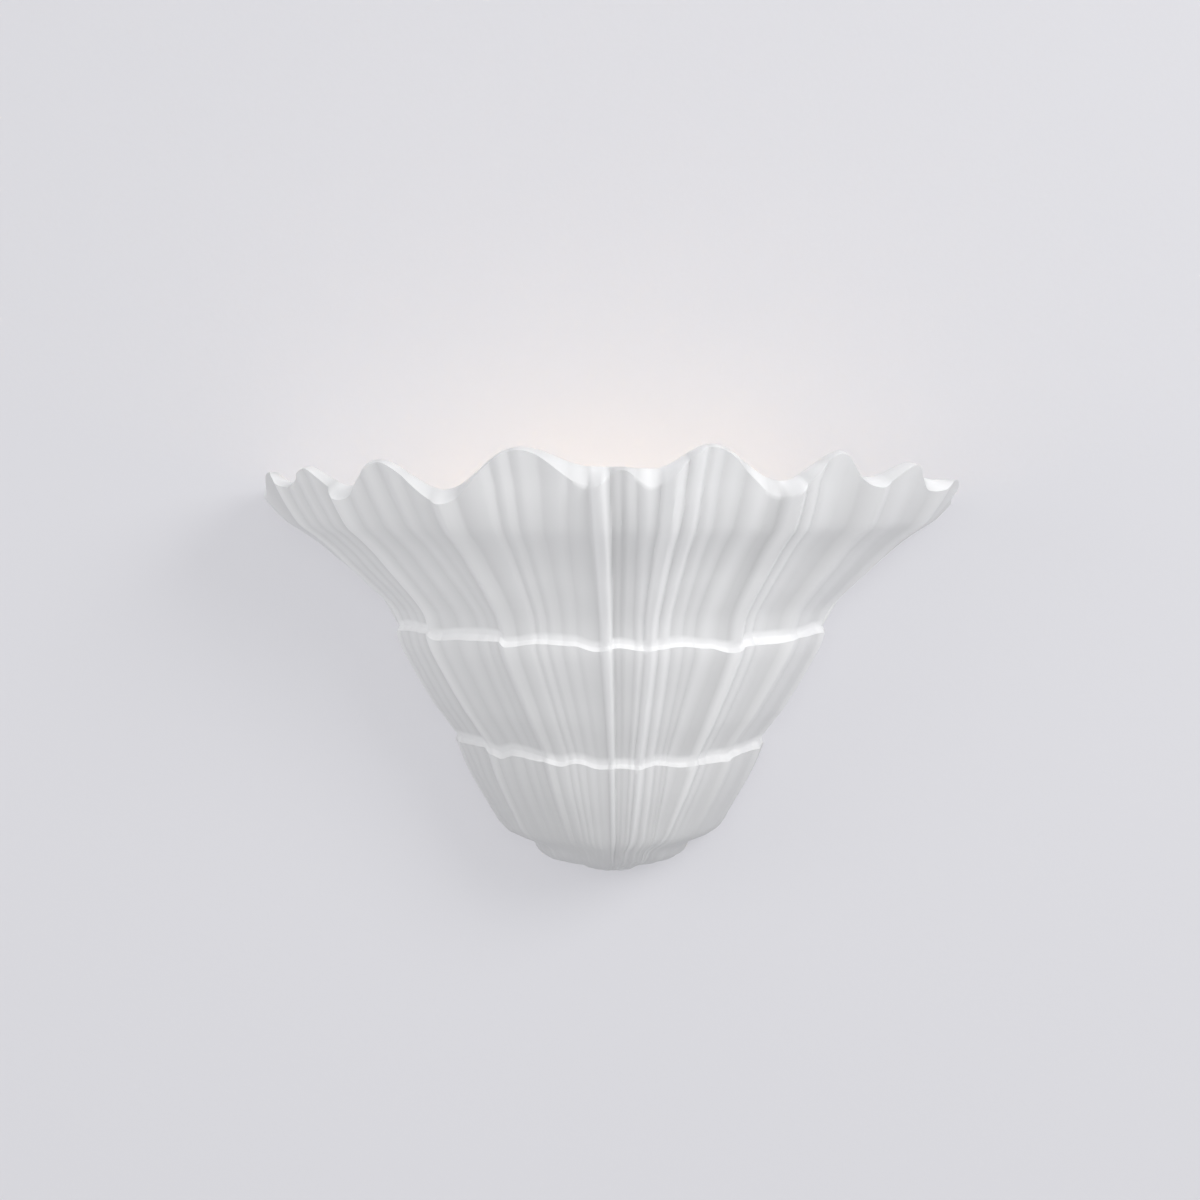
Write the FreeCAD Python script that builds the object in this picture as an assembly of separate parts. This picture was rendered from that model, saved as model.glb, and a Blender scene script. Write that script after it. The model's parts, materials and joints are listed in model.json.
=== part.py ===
"""Shell wall sconce: a fluted plaster half bowl hung on a lit wall plate.

Millimetres. +X right, +Y into the wall, +Z up. The origin is the centre of the
fixing pattern on the wall plane. Writes one STEP file per node into parts/.
"""
import FreeCAD, Part
import math
import os

V = FreeCAD.Vector

# ---- shell: profile of the plan ellipse (height, half width, depth) ----
PROFILE = (
    (-109, 11.5, 17), (-106.5, 15, 28), (-104.6, 18.5, 34), (-103.6, 29, 37), (-102, 33.5, 41),
    (-99, 36.5, 47), (-95, 39, 52.5), (-92.5, 44, 56), (-90.5, 50, 58), (-87, 55, 60.5),
    (-83, 58, 63), (-75, 63, 67), (-65, 69, 71), (-55, 74, 74), (-46, 77.5, 76.5),
    (-35, 83.5, 81), (-25, 89.5, 85.5), (-15, 95.5, 90), (-5, 101, 95), (5, 106, 99.5),
    (12, 108, 101.5), (17, 109.5, 103), (23, 112, 105.5), (30, 118, 109.5),
    (38, 126.5, 114.5), (46, 136, 120), (54, 145.5, 127), (60, 154, 133), (65, 162, 138),
    (72, 170, 143.5), (80, 177.5, 149), (90, 186, 154.5), (106, 197, 162),
)
# plan angles of the main ridges at rim, upper ledge, lower ledge and foot, then the flute to the right
RIDGES = (
    (0, 0, 0, 0, 5), (30, 12, 15, 20, 4.5), (44, 35, 41, 40, 6.5), (63.2, 61.3, 66.3, 69.7, 8),
    (88.3, 89, 90.2, 91.3, 3), (98.8, 99.9, 100.1, 100.4, 7.5), (118, 124.8, 122.8, 116, 6),
    (133.7, 145, 139.5, 135, 5), (151.5, 169, 163, 160, 5), (180, 180, 180, 180, 0),
)
# the same four angles of crests and grooves, then their height
FOLDS = (
    (0, 0, 0, 0, 0), (10, 5, 5, 7, 0.5), (20, 8, 8, 12, -0.5), (26, 10, 11, 15, -0.9),
    (30, 12, 15, 20, 1.0), (34, 20, 22, 26, 0.0), (37, 26, 28, 31, 0.4),
    (41.5, 32, 37, 36, -1.0), (44, 35, 41, 40, 1.1), (47, 39.5, 44, 44, -0.2),
    (48.5, 42, 46.5, 47, 0.35), (50.5, 46, 50, 51, -0.35), (52, 49.5, 53, 55, 0.4),
    (54.5, 53, 56, 58.5, -0.4), (56, 55.5, 58.5, 61, 0.3), (58, 57, 60.5, 63.5, -0.3),
    (59.5, 58.5, 62, 65.5, 0.0), (61.6, 59.6, 64.2, 67.5, -1.3), (63.2, 61.3, 66.3, 69.7, 1.2),
    (66.2, 65.2, 69, 72, -0.5), (71, 68.8, 72.5, 75, 0.4), (72.6, 70.2, 74, 76.5, -0.3),
    (74, 71.5, 75.5, 78, 0.35), (75.5, 73.2, 77, 79.5, -0.3), (77, 74.7, 78.5, 80.5, 0.3),
    (79.5, 77, 80.5, 82, -0.3), (82.2, 79, 82.5, 84, 0.3), (83.6, 81, 84.5, 85.5, -0.2),
    (85, 82.6, 86, 87, 0.15), (86.2, 85.5, 87.8, 89, -0.2), (88.3, 89, 90.2, 91.3, 1.3),
    (89.5, 90.2, 91.2, 92.3, -0.8), (90.6, 91.3, 92.2, 93.2, -0.2), (91.4, 92.3, 93.2, 94.2, -0.6),
    (92.4, 93.8, 94.6, 95.2, 0.0), (93.6, 95.7, 96.2, 96.6, -0.6), (94.8, 97, 97.3, 98, 0.2),
    (97, 98.2, 98.4, 99.2, -0.3), (98.8, 99.9, 100.1, 100.4, 1.3), (100.6, 101.8, 102.3, 103.5, -0.4),
    (102.3, 103.6, 104.5, 106.5, 0.8), (103.3, 105.3, 106, 108, -0.5), (104.4, 107.4, 107.5, 109.4, 0.5),
    (106, 109, 109, 110.3, -0.5), (107.8, 110.5, 110.2, 111, 0.2), (110, 112.5, 111, 111.7, -0.7),
    (112.5, 115, 112, 112.5, 0.5), (114.5, 119, 116, 113.5, -0.5), (116.2, 122, 120, 114.5, -0.9),
    (118, 124.8, 122.8, 116, 1.5), (119.6, 126.8, 124.6, 118, -0.3), (121, 129, 126.5, 120, 0.7),
    (122, 130.8, 129, 122.5, -0.2), (123.5, 132.5, 131, 125, 0.4), (127, 136, 133.5, 128, -0.2),
    (130.5, 141, 136.5, 131.5, -0.6), (133.7, 145, 139.5, 135, 0.9), (136, 149, 143, 138, -0.3),
    (139.5, 154, 148, 143, 0.3), (144, 159, 153, 148, -0.5), (148.5, 165, 158, 154, -0.8),
    (151.5, 169, 163, 160, 1.1), (156, 172, 168, 166, -0.4), (163, 175, 173, 172, 0.4),
    (172, 178, 177, 177, -0.2), (180, 180, 180, 180, 0),
)
STRENGTH = ((-109, 0.8), (-46, 1.0), (5, 1.0), (40, 1.3), (104, 2.0))
FLUTE = ((-109, -0.4), (-85, -0.3), (-46, 0.05), (10, 0.25), (40, 0.5), (90, 1.0))
LEDGE_DIP = 0.5       # how far a ledge drops for each millimetre of relief
RIM_OUTER = (
    (0, 74), (10, 78), (24, 91), (30.5, 84), (37.5, 93.5), (43.8, 79), (55, 97), (63.1, 78), (77, 103),
    (87.1, 86), (91.4, 94), (95.6, 86), (103.6, 105), (116.8, 81), (124, 101), (134, 85), (139.7, 95),
    (151, 82), (158, 91), (166, 84), (173, 78), (180, 74),
)
RIM_INNER = (
    (0, 82), (10, 88), (17, 90.5), (26, 84.5), (35, 94), (44, 85.5), (53.5, 98), (63, 84.5), (77, 104),
    (87, 95.5), (91.4, 95), (96, 94.5), (104, 106), (117, 88.5), (125.5, 102), (133.5, 89.5),
    (141.5, 96), (147, 92), (154, 94.5), (162, 89), (180, 82),
)
WALL = 9.0            # casting thickness
FLOOR = 9.0           # bottom thickness
FOOT_Z = -109.0
LEDGE1_Z = 10.0       # top of the middle tier
LEDGE2_Z = -46.5      # top of the bottom tier
LEDGE_STEP = 1.8      # how far each lower tier stands proud
LEDGE_RISE = 3.0      # height of the sloped ledge face
COLUMNS = 300         # points along one course of the casting

# ---- wall plate ----
PLATE_W, PLATE_H, PLATE_T = 132.0, 64.0, 1.5
FIX_SPACING, FIX_R = 90.0, 2.75
CABLE_X, CABLE_R = -30.0, 9.0
HOOK_X, HOOK_W, HOOK_RISE = 56.0, 16.0, 10.0
# ---- hanger strap on the shell ----
STRAP_T, STRAP_H, STRAP_Z = 2.0, 20.0, 14.0
STRAP_BACK = -3.0     # y of the face towards the wall
STRAP_SCREW_X, STRAP_END = 91.0, 7.0
STRAP_HALF = STRAP_SCREW_X + STRAP_END
STRAP_SCREW_DZ = 6.0
M4_R, M3_R, FIT = 2.0, 1.5, 0.05
INSERT_R, INSERT_L = 3.0, 8.0
# ---- terminal block ----
BLOCK = (18.0, 14.0, 26.0)
WAY_PITCH = 9.0
CLAMP_X = 4.0
WIRE_Y = -8.5
WIRE_R = 0.9
EARTH_X = 33.0
# ---- lamp bracket and holders ----
BAR_T, BAR_Z = 1.5, -17.5
BAR_Y, BAR_D = -44.0, 14.0
TAB_SCREW_X, TAB_SCREW_Z = 7.0, -25.0
LAMP_X = 34.0
HOLDER = (21.0, 13.0, 22.0)
EAR_HALF, EAR_T, EAR_SCREW_X = 16.0, 4.0, 13.2
BAR_HALF = LAMP_X + EAR_HALF
BASE = (15.0, 8.0, 13.0)
PIN_HALF, PIN_R, PIN_L = 4.5, 0.6, 15.0
SOCKET_D = 5.0
GLASS_R, GLASS_T, GLASS_L = 8.5, 0.9, 42.0


def lin(table, x, column=1):
    """Straight interpolation in a table sorted by its first column."""
    if x <= table[0][0]:
        return table[0][column]
    for lo, hi in zip(table, table[1:]):
        if x <= hi[0]:
            return lo[column] + (hi[column] - lo[column]) * (x - lo[0]) / (hi[0] - lo[0])
    return table[-1][column]


def wave(table, x):
    """Interpolation with a flat tangent at every entry."""
    for lo, hi in zip(table, table[1:]):
        if x <= hi[0]:
            t = (x - lo[0]) / (hi[0] - lo[0])
            return lo[1] + (hi[1] - lo[1]) * (1 - math.cos(math.pi * t)) / 2
    return table[-1][1]


def fold_angle(fold, z):
    """Plan angle of one fold at the height z."""
    rim, upper, lower, foot = fold[:4]
    if z >= LEDGE1_Z:
        return upper + (rim - upper) * min(1.0, (z - LEDGE1_Z) / 78.0)
    if z >= LEDGE2_Z:
        return lower + (upper - lower) * (z - LEDGE2_Z) / (LEDGE1_Z - LEDGE2_Z)
    return foot + (lower - foot) * max(0.0, (z - FOOT_Z) / (LEDGE2_Z - FOOT_Z))


def between_folds(table, phi, z):
    """The folds on both sides of a plan angle, and the way across from one to the other."""
    start = fold_angle(table[0], z)
    for left, right in zip(table, table[1:]):
        end = fold_angle(right, z)
        if phi <= end:
            return left[4], right[4], (phi - start) / max(1e-6, end - start)
        start = end
    return table[-2][4], table[-1][4], 1.0


def relief(phi, z):
    """Broad flutes between the ridges, with rounded crests and crisp grooves on top."""
    depth, _, t = between_folds(RIDGES, phi, z)
    flute = -depth * lin(FLUTE, z) * max(0.0, math.sin(math.pi * t)) ** 0.9
    here, there, t = between_folds(FOLDS, phi, z)
    low, high = min(here, there), max(here, there)
    from_groove = t if here < there else 1 - t
    fold = high - (high - low) * (1 - from_groove) ** 1.6
    return flute + fold * lin(STRENGTH, z)


def outer_point(phi, z, inset=0.0):
    angle = math.radians(phi)
    a = lin(PROFILE, z, 1)
    b = lin(PROFILE, z, 2)
    out = relief(phi, z) - inset
    nx, ny = -math.cos(angle) / a, -math.sin(angle) / b
    n = math.hypot(nx, ny)
    y = -b * math.sin(angle) + out * ny / n
    return V(-a * math.cos(angle) + out * nx / n, min(y, 0.0), z)


def inner_point(phi, z):
    """The inside follows the broad flutes, with the folds averaged out."""
    angle = math.radians(phi)
    a = lin(PROFILE, z, 1) - WALL
    b = lin(PROFILE, z, 2) - WALL
    near = [relief(min(180.0, max(0.0, phi + d)), z) for d in (-6, -4, -2, 0, 2, 4, 6)]
    out = sum(near) / len(near)
    return V(-(a + out) * math.cos(angle), -(b + out) * math.sin(angle), z)


def course(point, height):
    """One closed-ended curve along the casting, height given per plan angle."""
    points = []
    for i in range(COLUMNS + 1):
        phi = 180.0 * i / COLUMNS
        points.append(point(phi, height(phi)))
    for end in (0, -1):
        points[end] = V(points[end].x, 0, points[end].z)
    curve = Part.BSplineCurve()
    curve.interpolate(points)
    return curve.toShape()


def ledge_height(base):
    """A ledge leans a little to one side and drops at the ridges."""
    return lambda phi: base + 1.2 * math.cos(math.radians(phi)) - LEDGE_DIP * relief(phi, base)


def between(low, high, t):
    return lambda phi: low(phi) + (high(phi) - low(phi)) * t


def shell_courses():
    flat = lambda z: (lambda phi: z)
    rim_out = lambda phi: wave(RIM_OUTER, phi)
    rim_in = lambda phi: wave(RIM_INNER, phi)
    one, two = ledge_height(LEDGE1_Z), ledge_height(LEDGE2_Z)
    raised = lambda f: (lambda phi: f(phi) + LEDGE_RISE)
    tucked = lambda phi, z: outer_point(phi, z, LEDGE_STEP)
    rows = [course(outer_point, flat(row[0])) for row in PROFILE if row[0] < LEDGE2_Z - LEDGE_RISE]
    rows.append(course(outer_point, two))
    rows.append(course(tucked, raised(two)))
    rows += [course(outer_point, between(raised(two), one, t)) for t in (0.2, 0.4, 0.6, 0.8)]
    rows.append(course(outer_point, one))
    rows.append(course(tucked, raised(one)))
    steps = (0.08, 0.17, 0.27, 0.38, 0.49, 0.6, 0.72, 0.84, 0.93, 1.0)
    rows += [course(outer_point, between(raised(one), rim_out, t)) for t in steps]
    floor = FOOT_Z + FLOOR
    inside = (1.0, 0.9, 0.78, 0.66, 0.54, 0.42, 0.3, 0.2, 0.1, 0.04, 0.0)
    rows += [course(inner_point, between(flat(floor), rim_in, t)) for t in inside]
    return rows


def end_line(rows, end):
    return [Part.makeLine(lo, hi) for lo, hi in
            zip([r.Vertexes[end].Point for r in rows], [r.Vertexes[end].Point for r in rows[1:]])]


def make_casting():
    rows = shell_courses()
    faces = [Part.makeRuledSurface(lo, hi) for lo, hi in zip(rows, rows[1:])]
    closing = []
    for row in (rows[0], rows[-1]):
        chord = Part.makeLine(row.Vertexes[0].Point, row.Vertexes[-1].Point)
        closing.append(chord)
        faces.append(Part.Face(Part.Wire([row, chord])))
    edges = end_line(rows, 0) + end_line(rows, -1) + closing
    back = Part.Wire(Part.__sortEdges__(edges))
    faces.append(Part.Face(back))
    shell = Part.makeShell(faces)
    shell.sewShape()
    solid = Part.makeSolid(shell)
    if solid.Volume < 0:
        solid.reverse()
    return solid


def box(x0, x1, y0, y1, z0, z1):
    return Part.makeBox(x1 - x0, y1 - y0, z1 - z0, V(x0, y0, z0))


def rod(x, y, z, r, length, axis):
    return Part.makeCylinder(r, length, V(x, y, z), axis)


def strap_holes():
    return [(sx * STRAP_SCREW_X, STRAP_Z + STRAP_H / 2 + dz)
            for sx in (-1, 1) for dz in (-STRAP_SCREW_DZ, STRAP_SCREW_DZ)]


def make_shell():
    body = make_casting()
    front = STRAP_BACK - STRAP_T
    z0, z1 = STRAP_Z - 2, STRAP_Z + STRAP_H + 2
    for side in (-1, 1):
        xs = sorted((side * (STRAP_SCREW_X - 6), side * 106))
        body = body.fuse(box(xs[0], xs[1], -20, front, z0, z1))
    rebate = STRAP_HALF + 0.5
    body = body.cut(box(-rebate, rebate, front, 1, z0 + 1.5, z1 - 1.5))
    for x, z in strap_holes():
        body = body.cut(rod(x, front, z, INSERT_R, INSERT_L, V(0, -1, 0)))
    return body.removeSplitter()


def make_strap():
    strap = box(-STRAP_HALF, STRAP_HALF, STRAP_BACK - STRAP_T, STRAP_BACK, STRAP_Z, STRAP_Z + STRAP_H)
    for x, z in strap_holes():
        strap = strap.cut(rod(x, 1, z, M4_R + 0.2, 20, V(0, -1, 0)))
    return strap


def make_inserts():
    out = []
    for x, z in strap_holes():
        sleeve = rod(x, STRAP_BACK - STRAP_T, z, INSERT_R, INSERT_L, V(0, -1, 0))
        out.append(sleeve.cut(rod(x, 0, z, M4_R + FIT, 30, V(0, -1, 0))))
    return Part.makeCompound(out)


def pan_screw(x, y, z, r, length, head_r, head_t, way):
    """Cross-recess pan screw; the underside of the head is at the given point."""
    d = V(*way)
    head = Part.makeCylinder(head_r, head_t, V(x, y, z), d * -1)
    top = V(x, y, z) + d * -head_t
    edge = [e for e in head.Edges if abs((e.CenterOfMass - top).Length) < 1e-6]
    head = head.makeFillet(min(0.6, head_t * 0.35), edge)
    screw = head.fuse(Part.makeCylinder(r, length, V(x, y, z), d))
    side = V(1, 0, 0)
    other = d.cross(side)
    for u, w in ((side, other), (other, side)):
        corner = top - u * (head_r * 0.6) - w * 0.35
        slot = Part.makePolygon([corner, corner + u * (head_r * 1.2), corner + u * (head_r * 1.2) + w * 0.7,
                                 corner + w * 0.7, corner])
        screw = screw.cut(Part.Face(slot).extrude(d * (head_t * 0.5)))
    return screw


def make_strap_screws():
    return Part.makeCompound([pan_screw(x, STRAP_BACK, z, M4_R, 9, 3.8, 2.2, (0, -1, 0))
                              for x, z in strap_holes()])


def make_pads():
    """Felt pads let into the back edge so the casting meets the wall quietly."""
    pads = []
    for side in (-1, 1):
        pads.append(rod(side * 91.2, 0, -15, 2.6, 1.2, V(0, -1, 0)))
        pads.append(rod(side * 71.0, 0, -53, 2.6, 1.2, V(0, -1, 0)))
    return Part.makeCompound(pads)


def make_plate():
    w, h, t = PLATE_W / 2, PLATE_H / 2, PLATE_T
    plate = box(-w, w, -t, 0, -h, h)
    plate = plate.makeFillet(6, [e for e in plate.Edges if abs(e.Length - t) < 1e-6])
    for x in (-FIX_SPACING / 2, FIX_SPACING / 2):
        plate = plate.cut(rod(x, 1, 0, FIX_R, 10, V(0, -1, 0)))
    plate = plate.cut(rod(CABLE_X, 1, 0, CABLE_R, 10, V(0, -1, 0)))
    front = STRAP_BACK - STRAP_T - 0.6
    for side in (-1, 1):
        x0, x1 = side * HOOK_X - HOOK_W / 2, side * HOOK_X + HOOK_W / 2
        plate = plate.fuse(box(x0, x1, front - t, -t, STRAP_Z - t, STRAP_Z))
        plate = plate.fuse(box(x0, x1, front - t, front, STRAP_Z - t, STRAP_Z + HOOK_RISE))
    for x in (-TAB_SCREW_X, TAB_SCREW_X):
        plate = plate.cut(rod(x, 1, TAB_SCREW_Z, M3_R + FIT, 10, V(0, -1, 0)))
    plate = plate.cut(rod(0, 1, WAY_PITCH / 2, M3_R + FIT, 10, V(0, -1, 0)))
    return plate.removeSplitter()


def make_grommet():
    r, t = CABLE_R, PLATE_T
    ring = rod(CABLE_X, -t, 0, r + 2, 1.4, V(0, -1, 0)).fuse(rod(CABLE_X, 0, 0, r, t, V(0, -1, 0)))
    return ring.cut(rod(CABLE_X, 1, 0, r - 2.5, 10, V(0, -1, 0))).removeSplitter()


def ways():
    return (-WAY_PITCH, 0.0, WAY_PITCH)


def make_block():
    bx, by, bz = BLOCK
    block = box(-bx / 2, bx / 2, -PLATE_T - by, -PLATE_T, -bz / 2, bz / 2)
    upright = [e for e in block.Edges if abs(e.Length - bz) < 1e-6]
    block = block.makeFillet(1.2, upright)
    for z in ways():
        block = block.cut(rod(-20, WIRE_Y, z, 2.6, 40, V(1, 0, 0)))
        for x in (-CLAMP_X, CLAMP_X):
            block = block.cut(rod(x, WIRE_Y, z, 1.9, 12, V(0, -1, 0)))
    for z in (-WAY_PITCH / 2, WAY_PITCH / 2):
        block = block.cut(box(-20, 20, -20, -PLATE_T - by + 1.5, z - 0.5, z + 0.5))
    return block.cut(rod(0, 0, WAY_PITCH / 2, 1.6, 30, V(0, -1, 0)))


def make_clamps():
    out = []
    for z in ways():
        tube = rod(-6.5, WIRE_Y, z, 2.6, 13, V(1, 0, 0)).cut(rod(-8, WIRE_Y, z, 1.3, 16, V(1, 0, 0)))
        for x in (-CLAMP_X, CLAMP_X):
            tube = tube.cut(rod(x, WIRE_Y, z, M3_R + FIT, 12, V(0, -1, 0)))
        out.append(tube)
    return Part.makeCompound(out)


def make_terminal_screws():
    out = []
    for z in ways():
        for x in (-CLAMP_X, CLAMP_X):
            screw = rod(x, WIRE_Y - WIRE_R - 0.02, z, M3_R, 4.4, V(0, -1, 0))
            tip = WIRE_Y - WIRE_R - 4.42
            out.append(screw.cut(box(x - 2, x + 2, tip, tip + 0.8, z - 0.3, z + 0.3)))
    return Part.makeCompound(out)


def make_block_screw():
    depth = PLATE_T + BLOCK[1]
    return pan_screw(0, -depth, WAY_PITCH / 2, M3_R, depth, 2.6, 1.6, (0, 1, 0))


def make_earth_stud():
    return rod(EARTH_X, -PLATE_T, 0, M4_R, 11, V(0, -1, 0)).fuse(rod(EARTH_X, -PLATE_T, 0, 3.2, 0.8, V(0, -1, 0)))


def make_earth_lug():
    y = -PLATE_T - 0.8
    ring = rod(EARTH_X, y, 0, 4.2, 0.9, V(0, -1, 0)).fuse(box(EARTH_X - 9, EARTH_X - 3, y - 0.9, y, -1.6, 1.6))
    ring = ring.fuse(rod(EARTH_X - 12, y - 1.6, 0, 1.6, 5.5, V(1, 0, 0)))
    ring = ring.cut(rod(EARTH_X - 13, y - 1.6, 0, WIRE_R, 5.5, V(1, 0, 0)))
    return ring.cut(rod(EARTH_X, 0, 0, M4_R + FIT, 30, V(0, -1, 0)))


def make_earth_washer():
    y = -PLATE_T - 1.7
    ring = rod(EARTH_X, y, 0, 4.0, 0.9, V(0, -1, 0))
    return ring.cut(rod(EARTH_X, 0, 0, M4_R + FIT, 30, V(0, -1, 0)))


def hexagon(x, y, z, across, depth):
    r = across / math.sqrt(3)
    points = [V(x + r * math.cos(math.radians(a)), y, z + r * math.sin(math.radians(a)))
              for a in range(0, 361, 60)]
    return Part.Face(Part.makePolygon(points)).extrude(V(0, -depth, 0))


def make_earth_nut():
    nut = hexagon(EARTH_X, -PLATE_T - 2.6, 0, 7.0, 3.2)
    return nut.cut(rod(EARTH_X, 0, 0, M4_R + FIT, 30, V(0, -1, 0)))


def make_bracket():
    back, top = -PLATE_T, BAR_Z + BAR_T
    y0, y1 = BAR_Y - BAR_D / 2, BAR_Y + BAR_D / 2
    arm = box(-11, 11, y1 - 1, back, BAR_Z, top)
    tab = box(-12, 12, back - BAR_T, back, -31, top)
    bar = box(-BAR_HALF, BAR_HALF, y0, y1, BAR_Z, top)
    bracket = arm.fuse(tab).fuse(bar)
    for x in (-TAB_SCREW_X, TAB_SCREW_X):
        bracket = bracket.cut(rod(x, 1, TAB_SCREW_Z, M3_R + 0.2, 10, V(0, -1, 0)))
    for lamp in (-LAMP_X, LAMP_X):
        for dx in (-EAR_SCREW_X, EAR_SCREW_X):
            bracket = bracket.cut(rod(lamp + dx, BAR_Y, BAR_Z - 1, M3_R + FIT, 5, V(0, 0, 1)))
    return bracket.removeSplitter()


def make_bracket_screws():
    grip = PLATE_T + BAR_T
    return Part.makeCompound([pan_screw(x, -grip, TAB_SCREW_Z, M3_R, grip, 2.8, 1.8, (0, 1, 0))
                              for x in (-TAB_SCREW_X, TAB_SCREW_X)])


def make_holder(lamp):
    hx, hy, hz = HOLDER
    z0 = BAR_Z + BAR_T
    body = box(lamp - hx / 2, lamp + hx / 2, BAR_Y - hy / 2, BAR_Y + hy / 2, z0, z0 + hz)
    body = body.makeFillet(2.0, [e for e in body.Edges if abs(e.Length - hz) < 1e-6])
    body = body.fuse(box(lamp - EAR_HALF, lamp + EAR_HALF, BAR_Y - 4.5, BAR_Y + 4.5, z0, z0 + EAR_T))
    top = z0 + hz
    bx, by = BASE[0] + 0.4, BASE[1] + 0.4
    body = body.cut(box(lamp - bx / 2, lamp + bx / 2, BAR_Y - by / 2, BAR_Y + by / 2, top - SOCKET_D, top + 1))
    for dx in (-PIN_HALF, PIN_HALF):
        body = body.cut(rod(lamp + dx, BAR_Y, z0 + 3, PIN_R + 0.4, 30, V(0, 0, 1)))
        body = body.cut(box(lamp + dx - 2, lamp + dx + 2, BAR_Y - 2.5, BAR_Y + 2.5, z0 + 2, z0 + 12))
        body = body.cut(rod(lamp + dx, BAR_Y, z0 + 6, WIRE_R + 0.3, 12, V(0, 1, 0)))
    for dx in (-EAR_SCREW_X, EAR_SCREW_X):
        body = body.cut(rod(lamp + dx, BAR_Y, z0 - 1, M3_R + 0.2, 8, V(0, 0, 1)))
    return body.removeSplitter()


def make_contacts(lamp):
    z0 = BAR_Z + BAR_T
    out = []
    for dx in (-PIN_HALF, PIN_HALF):
        x = lamp + dx
        clip = box(x - 2, x + 2, BAR_Y - 2.5, BAR_Y + 2.5, z0 + 2, z0 + 12)
        clip = clip.cut(rod(x, BAR_Y, z0 + 1, PIN_R + FIT, 14, V(0, 0, 1)))
        out.append(clip.cut(rod(x, BAR_Y + 1.2, z0 + 6, WIRE_R, 6, V(0, 1, 0))))
    return Part.makeCompound(out)


def make_holder_screws():
    z = BAR_Z + BAR_T + EAR_T
    return Part.makeCompound([pan_screw(lamp + dx, BAR_Y, z, M3_R, EAR_T + BAR_T + 2, 2.4, 1.6, (0, 0, -1))
                              for lamp in (-LAMP_X, LAMP_X) for dx in (-EAR_SCREW_X, EAR_SCREW_X)])


def lamp_floor():
    return BAR_Z + BAR_T + HOLDER[2] - SOCKET_D


def make_lamp_base(lamp):
    z = lamp_floor()
    bx, by, bz = BASE
    base = box(lamp - bx / 2, lamp + bx / 2, BAR_Y - by / 2, BAR_Y + by / 2, z, z + bz)
    base = base.makeFillet(1.5, [e for e in base.Edges if abs(e.Length - bz) < 1e-6])
    base = base.fuse(rod(lamp, BAR_Y, z + bz - 5, GLASS_R - 0.2, 5, V(0, 0, 1)))
    base = base.fuse(rod(lamp, BAR_Y, z + bz, GLASS_R - GLASS_T, 2, V(0, 0, 1)))
    for dx in (-PIN_HALF, PIN_HALF):
        base = base.cut(rod(lamp + dx, BAR_Y, z - 1, PIN_R, 5, V(0, 0, 1)))
    return base.removeSplitter()


def make_lamp_pins(lamp):
    z = lamp_floor()
    return Part.makeCompound([rod(lamp + dx, BAR_Y, z - 11, PIN_R, PIN_L, V(0, 0, 1))
                              for dx in (-PIN_HALF, PIN_HALF)])


def dome(lamp, z, r, length):
    body = rod(lamp, BAR_Y, z, r, length - r, V(0, 0, 1))
    cap = Part.makeSphere(r, V(lamp, BAR_Y, z + length - r), V(0, 0, 1), 0, 90)
    return body.fuse(cap).removeSplitter()


def make_lamp_glass(lamp):
    z = lamp_floor() + BASE[2]
    return dome(lamp, z, GLASS_R, GLASS_L).cut(dome(lamp, z - 1, GLASS_R - GLASS_T, GLASS_L + 1 - GLASS_T))


def make_lamp_core(lamp):
    z = lamp_floor() + BASE[2] + 2
    core = rod(lamp, BAR_Y, z, 3.6, 30, V(0, 0, 1))
    return core.makeFillet(1.0, [e for e in core.Edges if abs(e.CenterOfMass.z - z - 30) < 1e-6])


def wire_path(points):
    """Straight runs joined by tangent arcs."""
    pts = [V(*p) for p in points]
    edges, start = [], pts[0]
    for before, corner, after in zip(pts, pts[1:], pts[2:]):
        a, b = (before - corner), (after - corner)
        reach = 0.45 * min(a.Length, b.Length)
        a.normalize()
        b.normalize()
        p, q = corner + a * reach, corner + b * reach
        half = a.getAngle(b) / 2
        radius = reach * math.tan(half)
        mid_dir = a + b
        mid_dir.normalize()
        centre = corner + mid_dir * (radius / math.sin(half))
        edges.append(Part.makeLine(start, p))
        edges.append(Part.Arc(p, centre - mid_dir * radius, q).toShape())
        start = q
    edges.append(Part.makeLine(start, pts[-1]))
    return Part.Wire(edges)


def make_wire(points, r=WIRE_R):
    path = wire_path(points)
    way = V(*points[1]) - V(*points[0])
    ring = Part.Wire(Part.makeCircle(r, V(*points[0]), way))
    return path.makePipeShell([ring], True, False)


def lamp_wire(side, way_z, dx, turn_x, turn_y):
    z = BAR_Z + BAR_T + 6
    x = side * LAMP_X + dx
    return make_wire([(side * 2.5, WIRE_Y, way_z), (side * turn_x, WIRE_Y, way_z), (side * turn_x, turn_y, z),
                      (x, turn_y, z), (x, BAR_Y + 1.2, z)])


def earth_wire():
    y = -PLATE_T - 0.8 - 1.6
    return make_wire([(2.5, WIRE_Y, 0), (13, WIRE_Y, 0), (16, y, 0), (EARTH_X - 7.5, y, 0)])


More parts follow.
